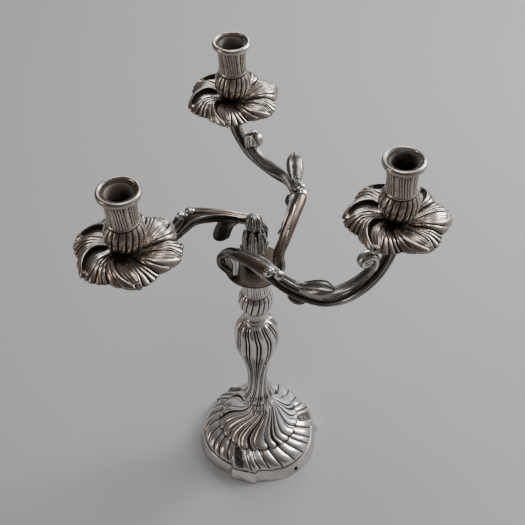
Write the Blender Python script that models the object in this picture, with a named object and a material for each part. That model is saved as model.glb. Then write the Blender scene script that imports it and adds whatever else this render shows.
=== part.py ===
"""Three-branch candelabrum: a fluted candlestick with a lift-out unit of three scrolled arms.

Units are metres. +Z is up. The origin is the centre of the foot's underside, on the stick's axis.
The arms stand at 90, 210 and 330 degrees, so that the back arm points along +Y.
"""

from math import cos, pi, radians, sin

import bmesh
import bpy
from mathutils import Matrix, Vector

MM = 0.001
GAP = 0.3                     # mm between faces that touch on the real object

# Driving dimensions, in millimetres
FOOT_RADIUS = 67.6            # rim close beside its bracket-shaped corners
FOOT_BELLY_RADIUS = 71.4      # rim midway between two brackets
FOOT_CORNER_RADIUS = 71.6
FOOT_BRACKETS = (6.0, 126.0, 246.0)   # degrees, middle of each flat bracket in the rim
FOOT_BRACKET_HALF = 12.0      # degrees
FOOT_BELLY_SPAN = (13.0, 52.0)        # degrees from a bracket's middle over which the rim swells
FOOT_HEIGHT = 76.7
VENT_RADIUS = 1.8             # small vent drilled through the rim
VENT_BEARING = 300.0
VENT_HEIGHT = 5.4
FELT_RADIUS = 58.0
FELT_THICKNESS = 1.5
PLATE_RADIUS = 60.0
PLATE_THICKNESS = 1.5
STEM_TOP = 214.0
COLLAR_TOP = 226.2
SOCKET_BASE = 226.5           # underside of the stick's own socket bulb
CUP_BASE = 402.0              # underside of each arm's cup bulb
BULB_HEIGHT = 29.0
CANDLE_SEAT = 10.0            # flat floor of a candle bore, above the bulb's underside
CUP_HEIGHT = 63.0             # bulb and neck together, up to the top of the lip
LIP_RADIUS = 19.0
CANDLE_BORE = 11.0            # radius, for a 22 mm household candle
SPIGOT_LENGTH = 37.5
DISC_RADIUS = 30.5
DISC_BOTTOM = 289.9
DISC_TOP = 292.6
FINIAL_SEAM = 342.8
FINIAL_TOP = 360.0
ARM_REACH = 135.4             # from the stick's axis to each cup's axis
ARM_TOP = 393.7
PAN_RADIUS = 48.0
PAN_PETALS = 6
ROD_RADIUS = 3.0
SCREW_RADIUS = 2.4
BORE_RADIUS = 3.4             # clearance bore for the rod and the studs

# Each arm's bearing and how far its pan happens to be turned on the stud, in degrees
ARMS = {"back": (90.0, -1.5), "left": (210.0, 21.5), "right": (330.0, -23.5)}


def clear_scene():
    for item in list(bpy.data.objects):
        bpy.data.objects.remove(item, do_unlink=True)


def make_material(name, colour, roughness, metallic):
    material = bpy.data.materials.new(name)
    material.use_nodes = True
    shader = material.node_tree.nodes["Principled BSDF"]
    shader.inputs["Base Color"].default_value = (*colour, 1.0)
    shader.inputs["Roughness"].default_value = roughness
    shader.inputs["Metallic"].default_value = metallic
    return material


def make_object(name, mesh, material, smooth_angle=40.0):
    mesh.materials.clear()
    mesh.materials.append(material)
    mesh.shade_smooth()
    mesh.set_sharp_from_angle(angle=radians(smooth_angle))
    item = bpy.data.objects.new(name, mesh)
    bpy.context.collection.objects.link(item)
    return item


def place(item, x=0.0, y=0.0, z=0.0, turn=0.0):
    item.location = (x * MM, y * MM, z * MM)
    item.rotation_euler = (0.0, 0.0, radians(turn))


def turned_mesh(name, outline, angles, radius_at=None):
    """Revolve an outline of (radius, height) pairs, in millimetres, into a closed mesh.

    An outline that starts and ends on the axis closes there; any other is a closed loop.
    radius_at(radius, height, angle) may bend the turned surface into flutes or lobes.
    """
    shape = bmesh.new()
    rings = []
    for radius, height in outline:
        if radius == 0.0:
            pole = shape.verts.new((0.0, 0.0, height * MM))
            rings.append([pole] * len(angles))
            continue
        ring = []
        for angle in angles:
            bent = radius_at(radius, height, angle) if radius_at else radius
            ring.append(shape.verts.new((bent * MM * cos(angle), bent * MM * sin(angle), height * MM)))
        rings.append(ring)
    on_axis = outline[0][0] == 0.0
    pairs = list(zip(rings, rings[1:]))
    if not on_axis:
        pairs.append((rings[-1], rings[0]))
    for low, high in pairs:
        for i in range(len(angles)):
            j = (i + 1) % len(angles)
            corners = [low[i], low[j], high[j], high[i]]
            corners = [v for k, v in enumerate(corners) if v not in corners[:k]]
            shape.faces.new(corners)
    bmesh.ops.recalc_face_normals(shape, faces=shape.faces)
    mesh = bpy.data.meshes.new(name)
    shape.to_mesh(mesh)
    shape.free()
    return mesh


def even_angles(count):
    return [2.0 * pi * i / count for i in range(count)]


def turned(name, outline, material, count=20, radius_at=None):
    return make_object(name, turned_mesh(name, outline, even_angles(count), radius_at), material)


def boolean(item, tool, operation):
    step = item.modifiers.new(tool.name, "BOOLEAN")
    step.operation = operation
    step.solver = "EXACT"
    step.object = tool


def applied_mesh(item):
    """The item's mesh with its modifiers applied, freed from helper objects."""
    graph = bpy.context.evaluated_depsgraph_get()
    return bpy.data.meshes.new_from_object(item.evaluated_get(graph))


def blend(low, high, value):
    share = min(max((value - low) / (high - low), 0.0), 1.0)
    return share * share * (3.0 - 2.0 * share)


# ---------------------------------------------------------------- the candlestick

def foot_angles():
    """Angles round the foot, close together along each bracket and ending on its corners."""
    angles = []
    for middle in FOOT_BRACKETS:
        start = middle - FOOT_BRACKET_HALF
        angles += [start + 2.0 * FOOT_BRACKET_HALF * i / 4 for i in range(4)]
        start = middle + FOOT_BRACKET_HALF
        span = 120.0 - 2.0 * FOOT_BRACKET_HALF
        angles += [start] + [start + 2.0 + (span - 4.0) * i / 8 for i in range(9)]
    return [radians(a) for a in angles]


def foot_radius_at(radius, height, angle):
    """Rim outline: three gentle bellies, and three flat brackets whose corners stand out."""
    offset = min(abs((angle - radians(m) + pi) % (2.0 * pi) - pi) for m in FOOT_BRACKETS)
    swell = blend(radians(FOOT_BELLY_SPAN[0]), radians(FOOT_BELLY_SPAN[1]), offset)
    edge = FOOT_RADIUS + (FOOT_BELLY_RADIUS - FOOT_RADIUS) * swell
    if offset <= radians(FOOT_BRACKET_HALF + 0.01):
        edge = FOOT_CORNER_RADIUS * cos(radians(FOOT_BRACKET_HALF)) / cos(offset)
    return radius * (1.0 + (edge / FOOT_RADIUS - 1.0) * blend(34.0, 60.0, radius))


def make_foot(silver):
    outside = [(FOOT_RADIUS, 0.0), (63.6, 13.4), (61.8, 14.4), (59.0, 20.5), (52.5, 26.6),
               (45.5, 29.4), (42.0, 33.0), (32.0, 40.0), (23.0, 49.0), (17.0, 58.0),
               (13.6, 66.0), (13.0, FOOT_HEIGHT)]
    inside = [(4.0, FOOT_HEIGHT), (4.0, 73.4), (10.2, 72.6), (11.4, 64.8), (20.6, 47.0),
              (40.4, 30.4), (44.4, 26.4), (57.0, 18.6), (60.4, 12.0), (64.6, 0.0)]
    mesh = turned_mesh("foot_shell", outside + inside, foot_angles(), foot_radius_at)
    foot = make_object("foot_shell", mesh, silver)
    drill = turned("vent_drill", [(0.0, 0.0), (VENT_RADIUS, 0.0), (VENT_RADIUS, 20.0), (0.0, 20.0)],
                   silver, 8)
    bearing = radians(VENT_BEARING)
    place(drill, x=56.0 * cos(bearing), y=56.0 * sin(bearing), z=VENT_HEIGHT)
    drill.rotation_euler = (0.0, pi / 2, bearing)
    boolean(foot, drill, "DIFFERENCE")
    bpy.context.view_layer.update()
    cut = applied_mesh(foot)
    foot.modifiers.clear()
    foot.data = cut
    bpy.data.objects.remove(drill, do_unlink=True)


def make_underside(steel, felt):
    plate = FELT_THICKNESS + GAP
    turned("foot_plate", [(0.0, plate), (PLATE_RADIUS, plate),
                          (PLATE_RADIUS - 0.4, plate + PLATE_THICKNESS),
                          (0.0, plate + PLATE_THICKNESS)], steel, 32)
    turned("felt_pad", [(0.0, 0.0), (FELT_RADIUS, 0.0), (FELT_RADIUS, FELT_THICKNESS),
                        (0.0, FELT_THICKNESS)], felt, 32)


def stem_radius_at(radius, height, angle):
    """Eight broad swirled flutes, deepest on the belly."""
    if radius < 9.0:
        return radius
    lean = radians(70.0) * (1.0 - blend(82.0, 190.0, height))
    depth = 0.035 * blend(84.0, 96.0, height) * (1.0 - blend(206.0, 213.0, height))
    return radius * (1.0 - depth * (0.5 + 0.5 * cos(8.0 * (angle + lean))))


def make_stem(silver):
    bottom = FOOT_HEIGHT + GAP
    outline = [(13.2, bottom), (17.2, bottom + 4.5), (17.2, 86.0), (12.6, 94.0), (11.0, 108.0),
               (11.9, 128.0), (14.4, 144.0), (19.2, 162.0), (23.2, 177.0), (23.5, 189.0),
               (20.5, 204.0), (15.5, 211.0), (12.2, STEM_TOP), (BORE_RADIUS, STEM_TOP),
               (BORE_RADIUS, 209.0), (13.0, 207.0), (19.8, 188.0), (19.4, 177.0),
               (11.4, 145.0), (8.4, 126.0), (8.0, 98.0), (BORE_RADIUS, 90.0),
               (BORE_RADIUS, bottom)]
    turned("baluster_stem", outline, silver, 24, stem_radius_at)


def make_collar(silver):
    bottom = STEM_TOP + GAP
    outline = [(12.1, bottom), (12.3, 216.5), (10.6, 220.0), (9.6, 224.0), (9.9, COLLAR_TOP),
               (BORE_RADIUS, COLLAR_TOP), (BORE_RADIUS, bottom)]
    turned("stem_collar", outline, silver)


def bulb_outline(base_radius):
    """Squat cup bulb: a thick flat floor, bored for the rod or stud, and the candle bore above."""
    return [(base_radius, 0.0), (13.6, 4.5), (17.0, 11.0), (18.0, 19.0), (17.2, 25.0),
            (14.6, BULB_HEIGHT), (CANDLE_BORE, BULB_HEIGHT), (CANDLE_BORE, CANDLE_SEAT),
            (BORE_RADIUS, CANDLE_SEAT), (BORE_RADIUS, 0.0)]


def neck_outline():
    bottom = BULB_HEIGHT + GAP
    return [(14.4, bottom), (13.5, 33.0), (13.6, 45.0), (15.2, 55.5), (LIP_RADIUS - 1.2, 57.2),
            (LIP_RADIUS, 60.0), (LIP_RADIUS - 1.0, CUP_HEIGHT - 0.4), (15.6, CUP_HEIGHT),
            (12.2, 60.0), (CANDLE_BORE, 57.0), (CANDLE_BORE, bottom)]


def make_socket(silver):
    bulb = turned("socket_bulb", bulb_outline(9.9), silver)
    place(bulb, z=SOCKET_BASE)
    neck = turned("socket_neck", neck_outline(), silver)
    place(neck, z=SOCKET_BASE)


def make_tie(steel):
    head = SOCKET_BASE + CANDLE_SEAT + GAP
    turned("tie_rod", [(0.0, 61.0), (ROD_RADIUS, 61.0), (ROD_RADIUS, head), (6.0, head),
                       (5.5, head + 3.0), (0.0, head + 3.0)], steel, 12)
    turned("tie_washer", [(7.6, 69.4), (7.6, 70.7), (BORE_RADIUS, 70.7), (BORE_RADIUS, 69.4)],
           steel, 20)
    thread = ROD_RADIUS / cos(pi / 6) + 0.1
    turned("tie_nut", [(6.4, 64.0), (6.4, 69.1), (thread, 69.1), (thread, 64.0)],
           steel, 6)


# ---------------------------------------------------------------- the branch unit's centre

def make_spigot(brass):
    top = SOCKET_BASE + CUP_HEIGHT
    bottom = top - SPIGOT_LENGTH
    outline = [(9.9, bottom), (10.5, bottom + 3.0), (10.6, top), (SCREW_RADIUS + 0.4, top),
               (SCREW_RADIUS + 0.4, bottom + 6.0), (5.6, bottom + 6.0), (5.6, bottom)]
    turned("branch_spigot", outline, brass)


def make_disc(patina):
    bore = SCREW_RADIUS + 0.4
    outline = [(DISC_RADIUS - 0.8, DISC_BOTTOM), (DISC_RADIUS, DISC_BOTTOM + 1.2),
               (DISC_RADIUS - 0.9, DISC_TOP), (bore, DISC_TOP), (bore, DISC_BOTTOM)]
    turned("branch_disc", outline, patina, 36)


def make_centre_screw(steel):
    head = SOCKET_BASE + CUP_HEIGHT - SPIGOT_LENGTH + 2.4
    turned("centre_screw", [(0.0, head), (4.8, head), (4.8, head + 3.0),
                            (SCREW_RADIUS, head + 3.0), (SCREW_RADIUS, FINIAL_SEAM + 6.5),
                            (0.0, FINIAL_SEAM + 6.5)], steel, 12)


def make_finial(silver):
    bore = SCREW_RADIUS + 0.4
    bud = [(7.6, DISC_TOP + GAP), (8.6, 298.0), (8.0, 303.0), (10.0, 310.0), (11.6, 319.0),
           (11.4, 328.0), (9.4, 337.0), (7.9, FINIAL_SEAM - GAP), (bore, FINIAL_SEAM - GAP),
           (bore, DISC_TOP + GAP)]
    turned("finial_bud", bud, silver, 20)
    cap = [(0.0, FINIAL_SEAM + 7.2), (bore, FINIAL_SEAM + 7.2), (bore, FINIAL_SEAM),
           (5.8, FINIAL_SEAM), (7.5, 348.0), (7.3, 353.0), (4.6, 358.0), (0.0, FINIAL_TOP)]
    turned("finial_cap", cap, silver, 20)


# ---------------------------------------------------------------- the arms

# One arm's own frame: along the reach, to its left, and height, then the strand's thickness.
ARM_STEM = [
    (-12, -20, 297.3, 4.0), (-20, -20, 297.8, 4.2), (-26.5, -20, 304, 4.4), (-25.5, -20, 314, 4.4),
    (-18, -21, 321.5, 4.4), (-7, -27.5, 330, 4.6), (6, -35, 335, 4.8), (22, -43, 337, 4.8),
    (38, -50, 335.5, 5.0), (55, -52.5, 331, 5.6), (72, -52, 327, 5.9), (88, -48, 324.5, 6.0),
    (102, -38, 324, 6.0), (114, -26, 328.5, 6.0), (123, -14.5, 337, 5.8), (129, -7.0, 348, 5.6),
    (133, -2.0, 360, 5.6), (135.2, 0, 372, 6.0), (ARM_REACH, 0, 384, 7.0),
    (ARM_REACH, 0, ARM_TOP, 8.2)]
ARM_LEAVES = [
    # broad leaf over the crossing, ending in a round tip
    [(-18, -21, 324, 3.6), (-2, -32, 336, 4.2), (16, -43, 344, 4.6), (29, -49.5, 349, 4.4),
     (37, -53, 350.5, 3.2)],
    # upper strand that ends in the almond-shaped bud
    [(44, -53.5, 347.5, 3.6), (51, -52.5, 341, 4.2), (66, -53, 336, 4.0), (76, -54, 339, 6.0),
     (86, -55.5, 343.5, 7.4), (94, -56.5, 347, 4.6), (99, -57, 348.6, 1.6)],
    # nub under the stem
    [(58, -50, 326, 3.4), (61, -47.5, 318.5, 3.4), (62, -46.5, 314.8, 3.8)],
    # curl below the pan
    [(122, -14, 336, 4.0), (126.5, -9.5, 350, 4.0), (124.5, -11.5, 359.5, 4.2),
     (117.5, -18.5, 361.5, 4.4)],
    # spoon leaf that hangs inside the scroll
    [(-6, -28, 328, 3.2), (8, -31.5, 329, 3.4), (19, -31, 325, 5.2), (24, -30, 319, 3.6)],
]
STRAND_SIDES = 7


def smooth_route(stations, steps):
    """Catmull-Rom curve through the stations, with the thickness carried along."""
    values = [Vector(s) for s in stations]
    values = [2 * values[0] - values[1]] + values + [2 * values[-1] - values[-2]]
    route = []
    for a, b, c, d in zip(values, values[1:], values[2:], values[3:]):
        for step in range(steps):
            t = step / steps
            route.append(0.5 * (2 * b + t * (c - a) + t * t * (2 * a - 5 * b + 4 * c - d)
                                + t * t * t * (3 * b - a - 3 * c + d)))
    route.append(values[-2])
    return route


def strand_mesh(name, stations, steps, round_ends=True):
    """Tube of changing thickness along a smooth route, closed with a small dome at each end."""
    route = smooth_route(stations, steps)
    places = [v.to_3d() for v in route]
    girths = [v[3] for v in route]
    tangents = [(places[min(i + 1, len(places) - 1)] - places[max(i - 1, 0)]).normalized()
                for i in range(len(places))]
    side = tangents[0].cross(Vector((0.0, 0.0, 1.0)))
    if side.length < 0.1:
        side = tangents[0].cross(Vector((1.0, 0.0, 0.0)))
    shape = bmesh.new()
    rings = []
    for where, girth, tangent in zip(places, girths, tangents):
        side = (side - side.project(tangent)).normalized()
        up = tangent.cross(side)
        ring = []
        for k in range(STRAND_SIDES):
            angle = 2.0 * pi * k / STRAND_SIDES
            ring.append(shape.verts.new((where + girth * (cos(angle) * side + sin(angle) * up)) * MM))
        rings.append(ring)
    for low, high in zip(rings, rings[1:]):
        for k in range(STRAND_SIDES):
            n = (k + 1) % STRAND_SIDES
            shape.faces.new((low[k], low[n], high[n], high[k]))
    for ring, where, tangent, girth, way in ((rings[0], places[0], tangents[0], girths[0], -1),
                                             (rings[-1], places[-1], tangents[-1], girths[-1], 1)):
        if not round_ends:
            shape.faces.new(ring)
            continue
        pole = shape.verts.new((where + way * tangent * girth * 0.6) * MM)
        for k in range(STRAND_SIDES):
            shape.faces.new((ring[k], ring[(k + 1) % STRAND_SIDES], pole))
    bmesh.ops.recalc_face_normals(shape, faces=shape.faces)
    mesh = bpy.data.meshes.new(name)
    shape.to_mesh(mesh)
    shape.free()
    return mesh


def arm_mesh(silver):
    """One arm with its leaves joined on and the stud's blind hole in its end."""
    stem = make_object("arm_pattern", strand_mesh("arm_pattern", ARM_STEM, 2, False), silver)
    helpers = []
    for number, leaf in enumerate(ARM_LEAVES):
        helper = make_object(f"leaf_{number}", strand_mesh(f"leaf_{number}", leaf, 2), silver)
        boolean(stem, helper, "UNION")
        helpers.append(helper)
    hole_floor = ARM_TOP - 11.0
    hole = turned("stud_hole", [(0.0, hole_floor), (BORE_RADIUS, hole_floor),
                                (BORE_RADIUS, ARM_TOP + 5.0), (0.0, ARM_TOP + 5.0)], silver, 12)
    place(hole, x=ARM_REACH)
    boolean(stem, hole, "DIFFERENCE")
    flat = turned("end_trim", [(0.0, ARM_TOP), (20.0, ARM_TOP), (20.0, ARM_TOP + 20.0),
                               (0.0, ARM_TOP + 20.0)], silver, 12)
    place(flat, x=ARM_REACH)
    boolean(stem, flat, "DIFFERENCE")
    bpy.context.view_layer.update()
    mesh = applied_mesh(stem)
    for helper in helpers + [hole, flat, stem]:
        bpy.data.objects.remove(helper, do_unlink=True)
    return mesh


def make_arms(silver, steel):
    shared = arm_mesh(silver)
    stud_top = CUP_BASE + CANDLE_SEAT - 0.5
    for side, (bearing, _) in ARMS.items():
        arm = make_object(f"arm_{side}", shared.copy(), silver)
        place(arm, turn=bearing)
        stud_outline = [(0.0, ARM_TOP - 10.5), (ROD_RADIUS, ARM_TOP - 10.5),
                        (ROD_RADIUS, stud_top), (0.0, stud_top)]
        stud = turned(f"cup_stud_{side}", stud_outline, steel, 12)
        spot = Matrix.Rotation(radians(bearing), 4, "Z") @ Vector((ARM_REACH, 0.0, 0.0))
        place(stud, x=spot.x, y=spot.y)


# ---------------------------------------------------------------- the pans and candle cups

def pan_radius_at(radius, height, angle):
    """Six swirled petals, cut deepest at the edge."""
    if radius < 20.0:
        return radius
    swirl = radians(20.0) * blend(20.0, PAN_RADIUS, radius)
    cut = 0.07 * blend(28.0, PAN_RADIUS, radius)
    return radius * (1.0 - cut * (0.5 - 0.5 * cos(PAN_PETALS * (angle - swirl))))


def make_cups(silver):
    top = CUP_BASE - GAP
    under = ARM_TOP + GAP
    pan_outline = [(BORE_RADIUS, under), (9.0, under), (15.0, 397.8), (25.0, 402.4),
                   (36.0, 401.8), (46.0, 398.0), (PAN_RADIUS, 397.8), (45.5, 400.4),
                   (36.5, 404.2), (25.0, 405.0), (15.5, 401.0), (11.4, top),
                   (BORE_RADIUS, top)]
    for side, (bearing, pan_turn) in ARMS.items():
        spot = Matrix.Rotation(radians(bearing), 4, "Z") @ Vector((ARM_REACH, 0.0, 0.0))
        pan = turned(f"drip_pan_{side}", pan_outline, silver, 30, pan_radius_at)
        place(pan, x=spot.x, y=spot.y, turn=pan_turn)
        bulb = turned(f"cup_bulb_{side}", bulb_outline(10.7), silver)
        place(bulb, x=spot.x, y=spot.y, z=CUP_BASE)
        neck = turned(f"cup_neck_{side}", neck_outline(), silver)
        place(neck, x=spot.x, y=spot.y, z=CUP_BASE)


def main():
    clear_scene()
    bright = make_material("bright_silver", (0.62, 0.58, 0.54), 0.28, 1.0)
    dark = make_material("dark_silver", (0.30, 0.27, 0.24), 0.34, 1.0)
    patina = make_material("brown_patina", (0.16, 0.13, 0.10), 0.55, 0.8)
    brass = make_material("spigot_brass", (0.58, 0.44, 0.22), 0.40, 1.0)
    steel = make_material("iron_fittings", (0.32, 0.31, 0.30), 0.45, 1.0)
    felt = make_material("felt", (0.05, 0.10, 0.06), 0.95, 0.0)
    make_foot(bright)
    make_underside(steel, felt)
    make_stem(bright)
    make_collar(bright)
    make_socket(bright)
    make_tie(steel)
    make_spigot(brass)
    make_disc(patina)
    make_centre_screw(steel)
    make_finial(dark)
    make_arms(dark, steel)
    make_cups(bright)


main()
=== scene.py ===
"""Three-branch candelabrum in aged silver plate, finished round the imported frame.

The stage is laid out in metres. Lengths of the candelabrum are in millimetres, and its shells
are scaled to metres as they are made.
"""

from math import atan2, cos, hypot, pi, radians, sin

import bmesh
import bpy
import numpy as np
from mathutils import Matrix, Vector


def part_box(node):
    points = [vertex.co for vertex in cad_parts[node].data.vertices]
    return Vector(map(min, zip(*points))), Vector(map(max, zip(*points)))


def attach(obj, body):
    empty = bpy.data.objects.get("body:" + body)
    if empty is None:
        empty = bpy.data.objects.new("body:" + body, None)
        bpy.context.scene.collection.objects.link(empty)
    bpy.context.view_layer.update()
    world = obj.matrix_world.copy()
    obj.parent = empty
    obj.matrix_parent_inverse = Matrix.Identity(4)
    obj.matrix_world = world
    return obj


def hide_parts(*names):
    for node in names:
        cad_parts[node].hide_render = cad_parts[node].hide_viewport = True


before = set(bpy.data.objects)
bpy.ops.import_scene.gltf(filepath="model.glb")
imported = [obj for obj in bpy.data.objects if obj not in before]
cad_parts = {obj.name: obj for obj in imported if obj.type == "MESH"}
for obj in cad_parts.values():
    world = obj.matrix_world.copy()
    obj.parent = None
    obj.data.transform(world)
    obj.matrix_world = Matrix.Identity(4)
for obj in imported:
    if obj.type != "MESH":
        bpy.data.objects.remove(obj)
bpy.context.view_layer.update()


# ---------- stage, light and camera
# A plain pale table under broad window light from the right and behind, with a weak warm
# reflector low on the left, so that the flutes show light on one side and brown on the other.

FLOOR_SIZE = 6.0
FLOOR_GAP = 0.0003  # the table lies just clear of the felt


def join(source, output, target, socket):
    """Link one node's output to another's socket."""
    source.id_data.links.new(source.outputs[output], target.inputs[socket])


table_mesh = bpy.data.meshes.new("table")
half = FLOOR_SIZE / 2
table_mesh.from_pydata([(-half, -half, 0), (half, -half, 0), (half, half, 0), (-half, half, 0)],
                       [], [(0, 1, 2, 3)])
table = bpy.data.objects.new("table", table_mesh)
bpy.context.scene.collection.objects.link(table)
table.location.z = -FLOOR_GAP
paint = bpy.data.materials.new("table_paint")
paint.use_nodes = True
nodes = paint.node_tree.nodes
shader = nodes["Principled BSDF"]
shader.inputs["Roughness"].default_value = 0.85
shader.inputs["Specular IOR Level"].default_value = 0.2
mottle = nodes.new("ShaderNodeTexNoise")
mottle.inputs["Scale"].default_value = 3.0
tones = nodes.new("ShaderNodeValToRGB")
tones.color_ramp.elements[0].color = (0.365, 0.365, 0.37, 1)
tones.color_ramp.elements[1].color = (0.40, 0.40, 0.405, 1)
join(mottle, "Fac", tones, "Fac")
join(tones, "Color", shader, "Base Color")
table_mesh.materials.append(paint)

world = bpy.data.worlds.new("room")
bpy.context.scene.world = world
world.use_nodes = True
nodes = world.node_tree.nodes
direction = nodes.new("ShaderNodeTexCoord")
towards_window = nodes.new("ShaderNodeVectorMath")
towards_window.operation = "DOT_PRODUCT"
towards_window.inputs[1].default_value = (0.74, 0.50, 0.30)
side_light = nodes.new("ShaderNodeMapRange")
side_light.inputs["From Min"].default_value = -0.9
side_light.inputs["From Max"].default_value = 0.95
walls = nodes.new("ShaderNodeValToRGB")
walls.color_ramp.elements[0].color = (0.10, 0.078, 0.062, 1)
walls.color_ramp.elements[1].color = (1.0, 1.03, 1.08, 1)
middle = walls.color_ramp.elements.new(0.42)
middle.color = (0.17, 0.155, 0.145, 1)
pale = walls.color_ramp.elements.new(0.72)
pale.color = (0.42, 0.42, 0.44, 1)
background = nodes["Background"]
background.inputs["Strength"].default_value = 0.9
join(direction, "Generated", towards_window, 0)
join(towards_window, "Value", side_light, "Value")
join(side_light, "Result", walls, "Fac")
join(walls, "Color", background, "Color")


def soft_light(name, size, watts, place, aim, colour):
    lamp = bpy.data.lights.new(name, "AREA")
    lamp.shape = "RECTANGLE"
    lamp.size, lamp.size_y = size
    lamp.energy = watts
    lamp.color = colour
    lamp_object = bpy.data.objects.new(name, lamp)
    bpy.context.scene.collection.objects.link(lamp_object)
    facing = np.array(aim) - np.array(place)
    lamp_object.location = place
    lamp_object.rotation_euler = (atan2(hypot(facing[0], facing[1]), -facing[2]), 0.0,
                                  atan2(facing[1], facing[0]) - pi / 2)


soft_light("window", (0.9, 1.0), 34.0, (1.45, 0.55, 1.25), (0, 0, 0.2), (1.0, 0.985, 0.96))
soft_light("back_window", (1.0, 0.5), 11.0, (0.3, 1.7, 1.2), (0, 0, 0.3), (0.93, 0.97, 1.0))
soft_light("ceiling", (0.8, 0.8), 11.0, (0.1, 0.1, 2.2), (0, 0, 0), (1.0, 1.0, 1.0))
soft_light("side_glow", (0.35, 0.9), 3.0, (-1.5, -0.2, 0.7), (0, 0, 0.25), (1.0, 0.86, 0.72))

CAMERA_PLACE = (-0.0817, -0.6239, 0.9306)
CAMERA_HEADING = 8.15  # degrees clockwise from +Y
CAMERA_PITCH = 45.247  # degrees below level
CAMERA_ROLL = 0.897
lens = bpy.data.cameras.new("camera")
lens.sensor_width = 36.0
lens.lens = 61.71
camera = bpy.data.objects.new("camera", lens)
bpy.context.scene.collection.objects.link(camera)
camera.matrix_world = (Matrix.Translation(CAMERA_PLACE)
                       @ Matrix.Rotation(radians(-CAMERA_HEADING), 4, "Z")
                       @ Matrix.Rotation(radians(90.0 - CAMERA_PITCH), 4, "X")
                       @ Matrix.Rotation(radians(-CAMERA_ROLL), 4, "Z"))
bpy.context.scene.camera = camera


# ---------- foot
# Cast and chased brass foot, silver plated: a plain flared rim with three flat brackets,
# a low tier of swirled flutes, and a dome of long lobes whose round tips overlap that tier.
# The plate is rubbed bright on the lobes and black in the chased lines, partly with tarnish and partly
# with painted shade, with painted shadow under the lobes' round tips, in the scoops and round the vent.

MM = 0.001
FOOT_COLUMNS = 720
FOOT_RIM = 67.6
BRACKET_CORNER = 71.6
BRACKET_HALF = 12.0  # degrees
BRACKET_EASE = 5.0  # degrees over which a corner falls back to the rim
RIM_BELLY = 71.4  # the rim swells this far half-way between two brackets
BELLY_SPAN = (13.0, 52.0)  # degrees from a bracket's middle over which it swells
FIRST_BRACKET = 6.0  # degrees; the others follow at thirds of a turn
LOBE_STEP = 1.5  # how far the dome stands over the low tier
LOBE_TIP = 41.4  # least radius of the dome's lower edge; its round tips reach further
TIP_REACH = 3.4
REED_WIDTH = 7.2  # degrees; a flute of the dome narrower than this is a reed
GAP_WIDTH = 3.6  # and narrower than this a sunk line
PANEL_WIDTH = 20.0  # degrees; a flute of the tier wider than this is a scooped panel
SCOOP_MIDDLE, SCOOP_HALF = 53.5, 8.6
SCOOP_DEPTH = 3.0
VENT_RADIUS = 2.3  # small vent drilled through the rim
VENT_BEARING = 300.0  # degrees
VENT_HEIGHT = 5.4
VENT_REACH = 69.0  # from the axis to the middle of the drill
CLEAR = 0.05  # how far a shell stays inside the faces of the solid it covers


def heights(node):
    """Lowest and highest point of a node, in millimetres."""
    return [corner.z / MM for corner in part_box(node)]


def smooth_line(stations, spacing):
    """Evenly spaced smooth curve through the stations; extra columns ride along."""
    knots = np.array(stations, float)
    knots = np.vstack([2 * knots[0] - knots[1], knots, 2 * knots[-1] - knots[-2]])
    share = np.linspace(0, 1, 24, endpoint=False)[:, None]
    parts = []
    for a, b, c, d in zip(knots, knots[1:], knots[2:], knots[3:]):
        parts.append(0.5 * (2 * b + share * (c - a) + share**2 * (2 * a - 5 * b + 4 * c - d)
                            + share**3 * (3 * b - a - 3 * c + d)))
    dense = np.vstack(parts + [knots[-2:-1]])
    places = min(dense.shape[1], 3)
    along = np.concatenate([[0], np.cumsum(np.linalg.norm(np.diff(dense[:, :places], axis=0), axis=1))])
    where = np.linspace(0, along[-1], max(3, int(along[-1] / spacing) + 1))
    return np.stack([np.interp(where, along, column) for column in dense.T], 1)


def outward(line):
    """Unit normals of a profile that is drawn with its outer side on the right."""
    run = np.gradient(line, axis=0)
    run /= np.linalg.norm(run, axis=1)[:, None] + 1e-9
    return np.stack([run[:, 1], -run[:, 0]], 1)


def blend(low, high, value):
    share = np.clip((value - low) / (high - low), 0, 1)
    return share * share * (3 - 2 * share)


def numbered_flute(turn, borders):
    """For each angle: how far across its flute it lies, from -1 to 1, its width and its number.

    borders are the angles in degrees where one flute ends and the next begins, over one repeat.
    """
    borders = np.array(borders, float)
    turn = (turn - borders[0]) % (borders[-1] - borders[0]) + borders[0]
    number = np.clip(np.searchsorted(borders, turn, side="right") - 1, 0, len(borders) - 2)
    width = (borders[1:] - borders[:-1])[number]
    return 2 * (turn - borders[number]) / width - 1, width, number


def flute(turn, borders):
    return numbered_flute(turn, borders)[:2]


def rounded(across, power=0.5):
    """Height of a round flute across its width, 1 in the middle and 0 at its borders."""
    return np.clip(1 - across**2, 0, 1) ** power


def chased(across, share=0.16, rub=0.0):
    """How deep in the chased line a place lies: 1 in it, 0 on the flute, below 0 where rubbed."""
    return np.exp(-((1 - np.abs(across)) / share) ** 2) - rub * np.clip(1 - across**2, 0, 1) ** 2


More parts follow.
